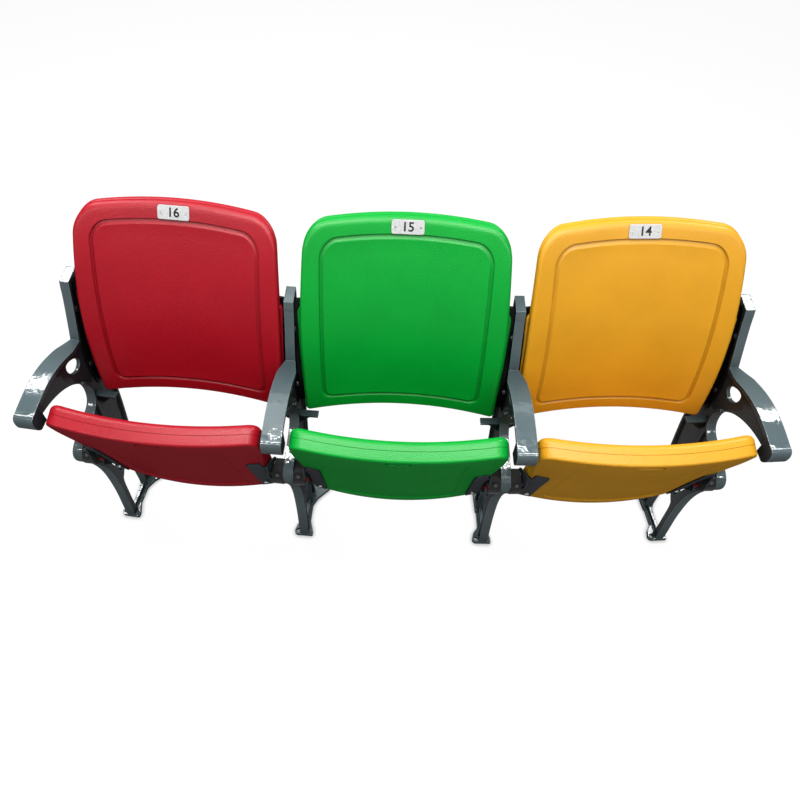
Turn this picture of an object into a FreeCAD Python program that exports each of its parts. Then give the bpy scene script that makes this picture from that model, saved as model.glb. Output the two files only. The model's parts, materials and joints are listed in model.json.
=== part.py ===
import FreeCAD, Part
import os
import math

V = FreeCAD.Vector

# Row layout: three seats between four standards, set on a gentle arc
SEAT_PITCH = 480.0
ROW_RADIUS = 7120.0

# Widths across the casting of one standard
FLANGE_W = 20.0
WEB_T = 8.0
STRUT_W = 23.0
ARM_W = 39.4
RIM_T = 6.0

# Seat pivot, tipped-up angle and travel down to sitting
PIVOT_Y = 0.0
PIVOT_Z = 375.0
TIP_ANGLE = 70.0
TRAVEL = 68.0
PIVOT_BOLT_D = 10.0
BOLT_CLEARANCE = 0.05
HUB_R = 17.0
CHEEK_X = 200.0
CHEEK_T = 3.0
PLATE_INNER_X = 164.0
HOUSING_X = 206.0
HALF_STEP = math.degrees(0.5 * SEAT_PITCH / ROW_RADIUS)
STOP_R = 31.0
STOP_D = 8.0
STOP_ANGLE = -53.0
STOP_CLEARANCE = 0.35

# Seat pan
SEAT_T = 45.0
SEAT_TOP_R = 12.0
SEAT_FRONT = 246.0
SEAT_REAR = -118.0
SEAT_HALF_FRONT = 213.0
SEAT_HALF_REAR = 186.0
HINGE_PLATE_T = 3.0
EAR_FRONT = (34.0, 66.0)
EAR_REAR = (-66.0, -46.0)
SCREW_AT = (176.0, -60.0)
LIFT_SLOT = (-25.0, 25.0, 226.0, 237.0)
LIFT_SLOT_DEPTH = 9.0
SCREW_D = 6.0

# Black brackets between post and back panel, and the gap left under a piece that lies on a curved face
BRACKET_T = 4.0
CHEEK_PLATE_T = 3.0
SEAT_GAP = 0.3
BRACKET_BOLT_D = 8.0

# Back panel
BACK_HALF_W = 208.0
BACK_T = 26.0
BACK_Y0 = 170.7
BACK_SLOPE = 0.3985
BACK_CURVE = 0.00081
BACK_DISH = 0.000314
BACK_Z0 = 690.0
BACK_TOP = 882.3
BACK_TOP_ARCH = 0.000264
BACK_BOTTOM = 462.7
BACK_BOTTOM_ARCH = 0.00035
GROOVE_W = 7.0
GROOVE_DEPTH = 2.6

# Floor fixing
FLOOR_HOLE_D = 12.0
FOOT_T = 10.0

# Number plate
PLATE_W = 64.0
PLATE_H = 27.0
PLATE_T = 1.2
PLATE_Z = 858.0
RIVET_D = 2.4

# Screws that hold the back panel to its brackets
BACK_SCREW_X = 200.0
BACK_SCREW_Z = (500.0, 680.0)

os.makedirs("parts", exist_ok=True)


HALF_SPAN = ROW_RADIUS * math.sin(math.radians(HALF_STEP))
SAGITTA = ROW_RADIUS * (1.0 - math.cos(math.radians(HALF_STEP)))
PIVOT_HOLE_Y = PIVOT_Y - SAGITTA
LEDGE_REACH = 52.0
LEDGE_Y = (90.0, 106.0)
BRACKET_OFF = BACK_T + SEAT_GAP
PLATE_OFF = PLATE_T + SEAT_GAP
BRACKET_BOLTS = ((157.0, 660.0), (121.0, 520.0))


def seat_angle(s):
    return math.degrees(s * SEAT_PITCH / ROW_RADIUS)


def put(shape, s):
    "Turn a shape from its own seat or standard frame into the row."
    a = math.radians(seat_angle(s))
    pos = V(ROW_RADIUS * math.sin(a), ROW_RADIUS * (1.0 - math.cos(a)), 0.0)
    m = FreeCAD.Placement(pos, FreeCAD.Rotation(V(0, 0, 1), seat_angle(s))).toMatrix()
    out = shape.copy()
    out.transformShape(m)
    return out


def neighbour(n):
    "Frame of the standard at a seat's left (-1) or right (1), as seen from that seat."
    pos = V(n * HALF_SPAN, SAGITTA, 0.0)
    return FreeCAD.Placement(pos, FreeCAD.Rotation(V(0, 0, 1), n * HALF_STEP))


def to_seat(shape, n):
    out = shape.copy()
    out.transformShape(neighbour(n).toMatrix())
    return out


def to_standard(shape, n):
    out = shape.copy()
    out.transformShape(neighbour(n).inverse().toMatrix())
    return out


def tip(shape, angle=TIP_ANGLE):
    "Seat parts are drawn sitting down about the pivot, then tipped up to rest."
    out = shape.copy()
    out.rotate(V(0, 0, 0), V(1, 0, 0), -angle)
    out.translate(V(0, PIVOT_Y, PIVOT_Z))
    return out


def save(name, shape):
    shape.exportStep("parts/" + name + ".step")


def spline(points):
    c = Part.BSplineCurve()
    c.interpolate(points)
    return c.toShape()


def profile_wire(runs):
    "Closed wire in the side plane from runs of (y, z) points; a run of three or more points is smooth."
    edges = []
    for i, run in enumerate(runs):
        pts = [V(0, p[0], p[1]) for p in run]
        nxt = runs[(i + 1) % len(runs)][0]
        if len(pts) > 2:
            edges.append(spline(pts))
        elif len(pts) == 2:
            edges.append(Part.makeLine(pts[0], pts[-1]))
        end = V(0, nxt[0], nxt[1])
        if (pts[-1] - end).Length > 0.01:
            edges.append(Part.makeLine(pts[-1], end))
    return Part.Wire(edges)


def slab(runs, x0, x1):
    f = Part.Face(profile_wire(runs))
    f.translate(V(x0, 0, 0))
    return f.extrude(V(x1 - x0, 0, 0))


def offset_path(points, t):
    "The same path moved sideways by t, to the left of its direction."
    n = len(points)
    out = []
    for i in range(n):
        p = points[max(i - 1, 0)]
        q = points[min(i + 1, n - 1)]
        length = math.hypot(q[0] - p[0], q[1] - p[1])
        ny = -(q[1] - p[1]) / length
        nz = (q[0] - p[0]) / length
        out.append((points[i][0] + ny * t, points[i][1] + nz * t))
    return out


def strip(points, t0, t1, x0, x1):
    "Rib that follows a smooth path, from offset t0 to offset t1 on the left of the path."
    return slab([offset_path(points, t0), offset_path(points, t1)[::-1]], x0, x1)


def cyl(r, x0, x1, y, z):
    return Part.makeCylinder(r, x1 - x0, V(x0, y, z), V(1, 0, 0))


def span_cyl(r, xa, xb, y, z):
    return cyl(r, min(xa, xb), max(xa, xb), y, z)


def span_box(xa, xb, y0, y1, z0, z1):
    return Part.makeBox(abs(xb - xa), y1 - y0, z1 - z0, V(min(xa, xb), y0, z0))


def edges_on(shape, gap):
    "Edges of a shape that lie on the surface where gap(point) is zero."
    out = []
    for e in shape.Edges:
        span = e.LastParameter - e.FirstParameter
        if all(abs(gap(e.valueAt(e.FirstParameter + span * k / 4.0))) < 0.35 for k in range(5)):
            out.append(e)
    return out


def fuse(shapes):
    out = shapes[0].multiFuse(shapes[1:])
    return out


# Side profile of one standard, in (y, z)
STRUT_FRONT = [(1.0, 0.0), (3.0, 45.0), (9.5, 120.0), (10.5, 160.0), (7.0, 232.0), (0.5, 265.0)]
STRUT_REAR = [(46.0, 184.0), (36.0, 170.0), (25.0, 112.0), (20.5, 60.0), (20.0, 0.0)]
CROTCH = [(17.0, 268.0), (22.0, 250.0), (30.0, 218.0), (38.0, 186.0), (41.0, 181.0)]
BRANCH_TOP = [(38.0, 178.0), (52.0, 196.0), (66.0, 222.0), (76.0, 258.0)]
BRANCH_LOW = [(96.0, 252.0), (78.0, 214.0), (58.0, 184.0), (33.0, 158.0)]
BOSS_FRONT = [(7.0, 232.0), (0.5, 265.0), (-24.0, 328.0), (-39.0, 360.0), (-40.5, 374.0), (-36.0, 388.0),
              (-12.0, 404.0), (32.0, 418.0), (72.0, 433.0), (84.5, 466.0), (69.0, 509.0)]
CAVITY_TOP = [(69.0, 509.0), (45.0, 536.0), (14.0, 555.0), (-20.0, 567.0), (-54.0, 572.0)]
HOLE_TOP = [(19.0, 255.0), (17.5, 275.0), (24.0, 290.0), (38.0, 296.0), (56.0, 287.0), (70.0, 268.0), (80.0, 246.0)]
ARM_TOP = [(-97.0, 612.5), (-61.0, 622.0), (-12.0, 629.5), (40.0, 624.5), (92.0, 608.5), (119.0, 600.5)]
NOSE_FRONT = [(-92.0, 614.5), (-98.0, 611.0), (-102.0, 592.0), (-98.0, 578.0), (-90.0, 570.0)]
NOSE_REAR = [(-68.0, 573.0), (-68.0, 616.0)]
POST_FRONT = [(117.0, 596.0), (123.5, 612.0), (145.0, 664.5), (165.0, 720.0)]
POST_TOP = [(161.0, 709.0), (167.5, 726.5), (206.0, 734.0), (204.0, 724.0), (175.0, 718.0), (168.5, 705.0)]
COLUMN_REAR = [(134.0, 8.0), (126.0, 80.0), (131.0, 200.0), (150.0, 310.0), (161.0, 400.0), (157.0, 480.0),
               (166.0, 590.0), (181.0, 640.0), (205.0, 726.0)]
COLUMN_FRONT = [(78.0, 250.0), (86.0, 200.0), (92.0, 140.0), (96.0, 70.0), (93.0, 4.0)]
COLUMN_RIB = [(77.0, 424.0), (75.0, 400.0), (73.0, 330.0)] + COLUMN_FRONT
EYE = [(57.0, 585.0), (76.0, 583.0), (98.0, 553.0), (84.0, 543.0), (55.0, 567.0), (57.0, 585.0)]
ARM_CAP_T = 9.0
HOLE_RIM_T = 4.5


def standard(sides):
    "One cast standard; sides lists where it has a seat, -1 left and 1 right."
    hw = FLANGE_W / 2.0
    wt = WEB_T / 2.0
    aw = ARM_W / 2.0
    mid = RIM_T / 2.0
    # front strut from the foot to the crotch, and the branch from there to the rear column
    strut = slab([STRUT_FRONT, CROTCH, STRUT_REAR], -STRUT_W / 2.0, STRUT_W / 2.0)
    branch = slab([BRANCH_TOP, BRANCH_LOW], -hw, hw)
    # rims and flanges
    rim = strip(BOSS_FRONT, 0.0, -RIM_T, -hw - 1.0, hw + 1.0)
    hole_rim = strip(HOLE_TOP, 0.0, HOLE_RIM_T, -hw + 1.0, hw - 1.0)
    rear_flange = strip(COLUMN_REAR, 0.0, RIM_T, -hw, hw)
    front_flange = strip(COLUMN_RIB, 0.0, RIM_T, -hw + 0.5, hw - 0.5)
    post_front = strip(POST_FRONT, 0.0, -RIM_T, -hw + 0.2, hw - 0.2)
    post_top = slab([POST_TOP[i:i + 1] for i in range(len(POST_TOP))], -hw + 0.1, hw - 0.1)
    # one web, with its edges buried halfway into the rims
    web = slab([offset_path(ARM_TOP, -ARM_CAP_T / 2.0), offset_path(POST_FRONT, -mid),
                offset_path(COLUMN_REAR, mid)[::-1], offset_path(COLUMN_FRONT, mid)[::-1],
                offset_path(HOLE_TOP, HOLE_RIM_T / 2.0)[::-1], offset_path(BOSS_FRONT, -mid), CAVITY_TOP,
                [(-90.0, 575.0), (-93.0, 600.0)]], -wt, wt)
    # arm cap with rounded nose, wide in front and narrowing at the post
    arm = strip(ARM_TOP, 0.0, -ARM_CAP_T, -aw, aw)
    nose = slab([NOSE_FRONT, NOSE_REAR], -aw + 0.05, aw - 0.05)
    taper = Part.Face(Part.makePolygon([V(-hw, 122.0, 0), V(-aw, 78.0, 0), V(-aw * 2.0, 78.0, 0), V(-aw * 2.0, 130.0, 0),
                                        V(-hw, 130.0, 0), V(-hw, 122.0, 0)])).extrude(V(0, 0, 800.0))
    arm = arm.cut(taper).cut(taper.mirror(V(0, 0, 0), V(1, 0, 0)))
    # floor bar with centre ridge, front ear on the left, rear ear on the right
    bar = Part.makeBox(21.0, 120.0, FOOT_T - 3.0, V(-10.5, 20.0, 0.0))
    ridge = Part.makeBox(7.0, 100.0, 22.0, V(-3.5, 12.0, 0.0))
    ear = Part.Face(Part.Wire([
        Part.makeLine(V(21.0, 0, 0), V(-17.6, 0, 0)),
        Part.Arc(V(-17.6, 0, 0), V(-24.6, 2.9, 0), V(-27.5, 10.0, 0)).toShape(),
        Part.makeLine(V(-27.5, 10.0, 0), V(-23.0, 27.0, 0)),
        Part.makeLine(V(-23.0, 27.0, 0), V(-11.0, 42.0, 0)),
        Part.makeLine(V(-11.0, 42.0, 0), V(11.0, 42.0, 0)),
        Part.makeLine(V(11.0, 42.0, 0), V(21.0, 12.0, 0)),
        Part.makeLine(V(21.0, 12.0, 0), V(21.0, 0, 0))])).extrude(V(0, 0, FOOT_T))
    rear = Part.Face(Part.Wire([
        Part.makeLine(V(-13.0, 90.0, 0), V(-16.0, 165.0, 0)),
        Part.makeLine(V(-16.0, 165.0, 0), V(44.0, 165.0, 0)),
        Part.Arc(V(44.0, 165.0, 0), V(51.0, 162.0, 0), V(54.0, 155.0, 0)).toShape(),
        Part.makeLine(V(54.0, 155.0, 0), V(48.0, 140.0, 0)),
        Part.makeLine(V(48.0, 140.0, 0), V(22.0, 112.0, 0)),
        Part.makeLine(V(22.0, 112.0, 0), V(11.0, 90.0, 0)),
        Part.makeLine(V(11.0, 90.0, 0), V(-13.0, 90.0, 0))])).extrude(V(0, 0, FOOT_T))
    body = fuse([web, strut, branch, rim, hole_rim, rear_flange, front_flange, arm, nose, post_front, post_top, bar,
                 ridge, ear, rear])
    # openings and holes
    body = body.cut(slab([EYE], -30.0, 30.0))
    body = body.cut(Part.makeCylinder(FLOOR_HOLE_D / 2.0, 40.0, V(-17.7, 10.5, -5.0)))
    body = body.cut(Part.makeCylinder(FLOOR_HOLE_D / 2.0, 40.0, V(38.0, 148.0, -5.0)))
    hub = cyl(HUB_R, -hw, hw, PIVOT_HOLE_Y, PIVOT_Z)
    body = fuse([body, hub])
    for side in sides:
        bore = span_cyl(PIVOT_BOLT_D / 2.0 + BOLT_CLEARANCE, -side * HALF_SPAN, -side * (HALF_SPAN - 60.0),
                        PIVOT_Y, PIVOT_Z)
        body = body.cut(to_standard(bore, -side))
    for y, z in BRACKET_BOLTS:
        body = body.cut(cyl(BRACKET_BOLT_D / 2.0 + BOLT_CLEARANCE, -40.0, 40.0, y, z))
    # ledges under the lower corners of the back panels
    for side in sides:
        x0 = wt if side > 0 else -LEDGE_REACH
        x1 = LEDGE_REACH if side > 0 else -wt
        y0, y1 = LEDGE_Y
        ledge = span_box(x0, x1, y0, y1, 436.0, 442.0)
        gusset = Part.Face(Part.makePolygon([V(side * wt, y1, 436.5), V(side * (LEDGE_REACH - 6.0), y1, 436.5),
                                             V(side * wt, y1, 396.0), V(side * wt, y1, 436.5)]))
        gusset = gusset.extrude(V(0, -6.0, 0))
        body = fuse([body, ledge, gusset])
    return body


def back_y(x, z):
    s = z - BACK_Z0
    return BACK_Y0 + BACK_SLOPE * s + BACK_CURVE * s * s - BACK_DISH * x * x


def curved_slab(front, back, half, z0, z1):
    "Solid between two offset dished surfaces over a rectangle."
    nx = 9
    nz = 11
    grids = []
    for off in (front, back):
        rows = []
        for j in range(nz):
            z = z0 + (z1 - z0) * j / (nz - 1)
            rows.append([V(x, back_y(x, z) + off, z) for x in [half * (2.0 * i / (nx - 1) - 1.0) for i in range(nx)]])
        surf = Part.BSplineSurface()
        surf.interpolate(rows)
        grids.append(surf.toShape())
    fa, fb = grids
    faces = [fa, fb]
    ea = fa.Edges
    eb = fb.Edges
    for e in ea:
        m = e.valueAt((e.FirstParameter + e.LastParameter) / 2.0)
        best = min(eb, key=lambda g: (g.valueAt((g.FirstParameter + g.LastParameter) / 2.0) - m).Length)
        faces.append(Part.makeRuledSurface(e, best))
    shell = Part.Shell(faces)
    shell.sewShape()
    return Part.Solid(shell)


def back_outline(inset, r, y0, y1):
    "Panel outline seen from the front, inset all round, as a prism through the panel."
    hw = BACK_HALF_W - inset
    zt = lambda x: BACK_TOP - inset - BACK_TOP_ARCH * x * x
    zb = lambda x: BACK_BOTTOM + inset - BACK_BOTTOM_ARCH * x * x
    xs = hw - r
    top = [V(x, 0, zt(x)) for x in (-xs, -xs * 0.5, 0.0, xs * 0.5, xs)]
    bot = [V(x, 0, zb(x)) for x in (xs + r * 0.75, xs * 0.5, 0.0, -xs * 0.5, -xs - r * 0.75)]
    rb = r * 0.25
    q = r * (1.0 - math.sqrt(0.5))
    e = [spline(top)]
    e.append(Part.Arc(top[-1], V(hw - q, 0, zt(xs) - q - 1.0), V(hw, 0, zt(xs) - r - 4.0)).toShape())
    e.append(Part.makeLine(V(hw, 0, zt(xs) - r - 4.0), V(hw, 0, zb(hw) + rb)))
    e.append(Part.makeLine(V(hw, 0, zb(hw) + rb), bot[0]))
    e.append(spline(bot))
    e.append(Part.makeLine(bot[-1], V(-hw, 0, zb(hw) + rb)))
    e.append(Part.makeLine(V(-hw, 0, zb(hw) + rb), V(-hw, 0, zt(xs) - r - 4.0)))
    e.append(Part.Arc(V(-hw, 0, zt(xs) - r - 4.0), V(-hw + q, 0, zt(xs) - q - 1.0), top[0]).toShape())
    f = Part.Face(Part.Wire(e))
    f.translate(V(0, y0, 0))
    return f.extrude(V(0, y1 - y0, 0))


def back_panel():
    slab_body = curved_slab(0.0, BACK_T, 230.0, 420.0, 910.0)
    body = slab_body.common(back_outline(0.0, 30.0, 0.0, 400.0))
    # groove round the raised middle field
    ring = back_outline(38.0, 26.0, 0.0, 400.0).cut(back_outline(38.0 + GROOVE_W, 23.0, -10.0, 410.0))
    skin = curved_slab(-2.0, GROOVE_DEPTH, 230.0, 420.0, 910.0)
    body = body.cut(skin.common(ring))
    # side ears set back from the front edge, just below the post top
    ears = []
    for sx in (-1, 1):
        ear_box = Part.makeBox(22.0, 400.0, 236.0, V(198.0 if sx > 0 else -220.0, 0.0, 470.0))
        ears.append(curved_slab(9.0, BACK_T, 230.0, 420.0, 910.0).common(ear_box))
    body = body.fuse(ears)
    for n in (-1, 1):
        for hole in screw_holes(n, 22.0):
            body = body.cut(hole)
        body = body.cut(rivet_shank(n, BOLT_CLEARANCE))
    return body


def seat_z(a, x):
    "Height of the underside over the pivot axis when sitting down."
    m = -36.1 - 0.0549 * (160.0 - a) + (0.00035 * (a - 160.0) ** 2 if a > 160.0 else 0.0)
    d = 19.4 + 0.0275 * (246.0 - max(a, 20.0))
    return m + d * (x / 200.0) ** 2


def seat_slab(off0, off1):
    na = 10
    nx = 9
    half = 225.0
    grids = []
    for off in (off0, off1):
        rows = []
        for j in range(na):
            a = SEAT_REAR - 20.0 + (SEAT_FRONT - SEAT_REAR + 40.0) * j / (na - 1)
            rows.append([V(x, -a, seat_z(a, x) + off) for x in [half * (2.0 * i / (nx - 1) - 1.0) for i in range(nx)]])
        surf = Part.BSplineSurface()
        surf.interpolate(rows)
        grids.append(surf.toShape())
    fa, fb = grids
    faces = [fa, fb]
    for e in fa.Edges:
        m = e.valueAt((e.FirstParameter + e.LastParameter) / 2.0)
        best = min(fb.Edges, key=lambda g: (g.valueAt((g.FirstParameter + g.LastParameter) / 2.0) - m).Length)
        faces.append(Part.makeRuledSurface(e, best))
    shell = Part.Shell(faces)
    shell.sewShape()
    return Part.Solid(shell)


def seat_outline(inset, z0, z1):
    f = SEAT_FRONT - inset
    r = SEAT_REAR + inset
    hf = SEAT_HALF_FRONT - inset
    hr = SEAT_HALF_REAR - inset
    c = 26.0
    e = []
    front = [V(x, -(f - 2.0 * (x / 180.0) ** 2), 0) for x in (-hf + c, -90.0, 0.0, 90.0, hf - c)]
    rear = [V(x, -(r + 6.0 * (x / 160.0) ** 2), 0) for x in (hr - c, 80.0, 0.0, -80.0, -hr + c)]
    e.append(spline(front))
    p1 = V(hf, -(f - c - 2.0), 0)
    q = c * 0.3
    e.append(Part.Arc(front[-1], V(hf - q, -(f - q - 2.0), 0), p1).toShape())
    p2 = V(hr, -(r + c + 6.0), 0)
    side = [p1, V(hf - 1.5, -160.0, 0), V(hf - 13.0, -80.0, 0), V(hr + 8.5, 0.0, 0), V(hr + 5.0, 45.0, 0), p2]
    e.append(spline(side))
    e.append(Part.Arc(p2, V(hr - q, -(r + q + 5.0), 0), rear[0]).toShape())
    e.append(spline(rear))
    m2 = V(-hr, -(r + c + 6.0), 0)
    e.append(Part.Arc(rear[-1], V(-hr + q, -(r + q + 5.0), 0), m2).toShape())
    side_l = [V(-p.x, p.y, 0) for p in reversed(side)]
    e.append(spline(side_l))
    e.append(Part.Arc(side_l[-1], V(-hf + q, -(f - q - 2.0), 0), front[0]).toShape())
    face = Part.Face(Part.Wire(e))
    face.translate(V(0, 0, z0))
    return face.extrude(V(0, 0, z1 - z0))


def seat_prism(points, z0=-90.0, z1=90.0):
    "Upright prism over a plan outline given as (x, forward) points."
    pts = [V(x, -a, z0) for x, a in points]
    return Part.Face(Part.makePolygon(pts + pts[:1])).extrude(V(0, 0, z1 - z0))


def underside_frame(x, a, off):
    "Point under the seat at a distance from its underside, and the direction up into the pan."
    e = 0.5
    dx = (seat_z(a, x + e) - seat_z(a, x - e)) / (2.0 * e)
    da = (seat_z(a + e, x) - seat_z(a - e, x)) / (2.0 * e)
    normal = V(-dx, da, 1.0)
    normal.normalize()
    return V(x, -a, seat_z(a, x)) + normal * off, normal


def screw_shank(n, grow, depth):
    start = 2.0 * SEAT_GAP + HINGE_PLATE_T + 0.5
    point, normal = underside_frame(n * SCREW_AT[0], SCREW_AT[1], -start)
    return Part.makeCylinder(SCREW_D / 2.0 + grow, start + depth, point, normal)


def plate_plan(n):
    "Plan of a hinge plate under the seat: a strap, and two ears that reach out to the cheek."
    x0 = PLATE_INNER_X
    x1 = 193.0
    xe = CHEEK_X + CHEEK_T
    f0, f1 = EAR_FRONT
    r0, r1 = EAR_REAR
    pts = [(x0, -90.0), (190.0, -90.0), (x1, r0), (xe, r0), (xe, r1), (x1, r1), (x1, f0), (xe, f0), (xe, f1),
           (x1, f1), (x1, 102.0), (x0 + 4.0, 102.0), (x0, 96.0)]
    return seat_prism([(n * x, a) for x, a in pts])


def stop_point(angle):
    return (STOP_R * math.cos(math.radians(angle)), STOP_R * math.sin(math.radians(angle)))


def hinge_plate(n):
    strap = seat_slab(-SEAT_GAP - HINGE_PLATE_T, -SEAT_GAP).common(plate_plan(n))
    x0 = n * CHEEK_X
    x1 = n * (CHEEK_X + CHEEK_T)
    # cheek: hub and two legs, with the space between them swept by the stop
    low = seat_z(70.0, CHEEK_X) - HINGE_PLATE_T - 1.0
    low_rear = seat_z(-70.0, CHEEK_X) - HINGE_PLATE_T - 1.0
    outline = [(70.0, low), (66.0, low + 8.0), (12.0, HUB_R - 3.0), (0.0, HUB_R), (-12.0, HUB_R - 3.0),
               (-66.0, low_rear + 8.0), (-70.0, low_rear), (-32.0, -37.0), (32.0, -35.0)]
    body = Part.Face(Part.makePolygon([V(x0, -a, b) for a, b in outline + outline[:1]])).extrude(V(x1 - x0, 0, 0))
    body = body.fuse(span_cyl(HUB_R, x0, x1, 0.0, 0.0))
    sweep = []
    half = math.degrees((STOP_D / 2.0 + STOP_CLEARANCE) / STOP_R)
    a0 = STOP_ANGLE - TIP_ANGLE + TRAVEL + half
    a1 = STOP_ANGLE - TIP_ANGLE - half
    inner = STOP_R - STOP_D / 2.0 - 1.0
    steps = 8
    for r, order in ((inner, range(steps + 1)), (STOP_R + 60.0, range(steps, -1, -1))):
        for i in order:
            t = math.radians(a0 + (a1 - a0) * i / steps)
            sweep.append(V(x0 - n, -r * math.cos(t), r * math.sin(t)))
    wedge = Part.Face(Part.makePolygon(sweep + sweep[:1])).extrude(V(n * (CHEEK_T + 2.0), 0, 0))
    cheek = body.cut(wedge)
    out = fuse([strap, cheek])
    out = out.cut(span_cyl(PIVOT_BOLT_D / 2.0 + BOLT_CLEARANCE, n * 180.0, n * 215.0, 0.0, 0.0))
    return out.cut(screw_shank(n, BOLT_CLEARANCE, 14.0))


def seat_pan():
    body = seat_slab(0.0, SEAT_T).common(seat_outline(0.0, -100.0, 120.0))
    body = body.makeFillet(SEAT_TOP_R, edges_on(body, lambda p: p.z - seat_z(-p.y, p.x) - SEAT_T))
    for n in (-1, 1):
        body = body.cut(screw_shank(n, BOLT_CLEARANCE, 14.0))
    x0, x1, a0, a1 = LIFT_SLOT
    slot = seat_slab(-2.0, LIFT_SLOT_DEPTH).common(seat_prism([(x0, a0), (x1, a0), (x1, a1), (x0, a1)]))
    return body.cut(slot)


def hinge_screws():
    out = []
    for n in (-1, 1):
        point, normal = underside_frame(n * SCREW_AT[0], SCREW_AT[1], -2.0 * SEAT_GAP - HINGE_PLATE_T - 3.0)
        head = Part.makeCylinder(5.0, 3.0, point, normal)
        out.append(head.fuse(screw_shank(n, 0.0, 13.0)))
    return Part.makeCompound(out)


def pivot_bolt(n):
    shank = span_cyl(PIVOT_BOLT_D / 2.0, n * (HALF_SPAN - 1.0), n * (CHEEK_X - 4.0), PIVOT_Y, PIVOT_Z)
    head = span_cyl(8.0, n * (CHEEK_X - 0.4), n * (CHEEK_X - 4.5), PIVOT_Y, PIVOT_Z)
    collar = span_cyl(9.0, n * (CHEEK_X + CHEEK_T + 0.3), n * HOUSING_X, PIVOT_Y, PIVOT_Z)
    return fuse([shank, head, collar])


def housing_bolt(n, grow=0.0):
    "Hexagon head in a pocket on the sloping front shoulder of the pivot housing."
    x = n * (HOUSING_X + 12.0)
    axis = V(0, -math.sin(math.radians(55.0)), math.cos(math.radians(55.0)))
    foot = V(x, -30.0, PIVOT_Z + 10.5)
    pts = []
    for i in range(7):
        t = math.radians(60.0 * i)
        pts.append(V((4.4 + grow) * math.cos(t), (4.4 + grow) * math.sin(t), 0))
    head = Part.Face(Part.makePolygon(pts)).extrude(V(0, 0, 6.0 + grow))
    head.Placement = FreeCAD.Placement(foot, FreeCAD.Rotation(V(0, 0, 1), axis))
    return head


def pivot_housing(n):
    "Black block on the side of the boss that holds the bolt and the return spring."
    x0 = n * HOUSING_X
    f = slab([[(-40.0, 370.0), (-39.0, 378.0)], [(-39.0, 378.0), (-27.0, 395.0)], [(-27.0, 395.0), (-15.0, 394.0)],
              [(-15.0, 394.0), (12.0, 384.0)], [(12.0, 384.0), (13.0, 362.0)],
              [(13.0, 362.0), (-4.0, 345.0), (-24.0, 343.0), (-36.0, 354.0), (-40.0, 370.0)]],
             min(x0, n * 236.0), max(x0, n * 236.0))
    keep = to_seat(span_box(-n * (FLANGE_W / 2.0 + 1.2), -n * 60.0, -90.0, 90.0, 300.0, 450.0), n)
    f = f.common(keep).cut(housing_bolt(n, BOLT_CLEARANCE))
    return f.cut(span_cyl(PIVOT_BOLT_D / 2.0 + BOLT_CLEARANCE, n * 190.0, n * 240.0, PIVOT_Y, PIVOT_Z))


def stop_pad(n):
    a, b = stop_point(STOP_ANGLE)
    return span_cyl(STOP_D / 2.0, n * (CHEEK_X - 0.5), n * HOUSING_X, PIVOT_Y - a, PIVOT_Z + b)


def bracket(n):
    "Wing behind the ear of the back panel, with a cheek that bolts to the web of the post."
    side = -n
    inner = side * WEB_T / 2.0
    outer = inner + side * CHEEK_PLATE_T
    wing = curved_slab(BRACKET_OFF, BRACKET_OFF + BRACKET_T, 240.0, 420.0, 910.0)
    wing = wing.common(span_box(n * 188.0, n * 239.0, 0.0, 400.0, 452.0, 716.0))
    wing = wing.common(to_seat(span_box(inner, side * 80.0, -50.0, 400.0, 400.0, 800.0), n))
    cheek = slab([[(188.0, 716.0), (171.0, 660.0), (153.0, 600.0), (142.0, 540.0), (134.0, 456.0)],
                  [(134.0, 456.0), (116.0, 456.0)], [(116.0, 456.0), (110.0, 500.0), (110.0, 530.0), (128.0, 590.0)],
                  [(128.0, 590.0), (145.0, 640.0), (157.5, 676.0), (176.0, 716.0)]],
                 min(inner, outer), max(inner, outer))
    for y, z in BRACKET_BOLTS:
        cheek = cheek.cut(cyl(BRACKET_BOLT_D / 2.0 + BOLT_CLEARANCE, -30.0, 30.0, y, z))
    out = fuse([wing, to_seat(cheek, n)])
    for hole in screw_holes(n, 22.0):
        out = out.cut(hole)
    return out


def plate_prism(hw, hz, r, z, y1=400.0):
    "Rounded rectangle seen from the front, as a prism, centred at height z."
    a = hw - r
    b = hz - r
    q = r * math.sqrt(0.5)
    e = [Part.makeLine(V(-a, 0, z + hz), V(a, 0, z + hz)),
         Part.Arc(V(a, 0, z + hz), V(a + q, 0, z + b + q), V(hw, 0, z + b)).toShape(),
         Part.makeLine(V(hw, 0, z + b), V(hw, 0, z - b)),
         Part.Arc(V(hw, 0, z - b), V(a + q, 0, z - b - q), V(a, 0, z - hz)).toShape(),
         Part.makeLine(V(a, 0, z - hz), V(-a, 0, z - hz)),
         Part.Arc(V(-a, 0, z - hz), V(-a - q, 0, z - b - q), V(-hw, 0, z - b)).toShape(),
         Part.makeLine(V(-hw, 0, z - b), V(-hw, 0, z + b)),
         Part.Arc(V(-hw, 0, z + b), V(-a - q, 0, z + b + q), V(-a, 0, z + hz)).toShape()]
    return Part.Face(Part.Wire(e)).extrude(V(0, y1, 0))


def number_plate():
    lean = BACK_SLOPE + 2.0 * BACK_CURVE * (PLATE_Z - BACK_Z0)
    hz = PLATE_H / 2.0 / math.sqrt(1.0 + lean * lean)
    plate = curved_slab(-PLATE_OFF, -SEAT_GAP, 60.0, PLATE_Z - 30.0, PLATE_Z + 20.0)
    plate = plate.common(plate_prism(PLATE_W / 2.0, hz, 4.0, PLATE_Z))
    for n in (-1, 1):
        plate = plate.cut(rivet_shank(n, BOLT_CLEARANCE))
    return plate


def surface_frame(x, z, off):
    "Point on the back panel's surface, and the outward direction towards the rear."
    s = z - BACK_Z0
    lean = BACK_SLOPE + 2.0 * BACK_CURVE * s
    normal = V(2.0 * BACK_DISH * x, 1.0, -lean)
    normal.normalize()
    return V(x, back_y(x, z) + off, z), normal


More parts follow.
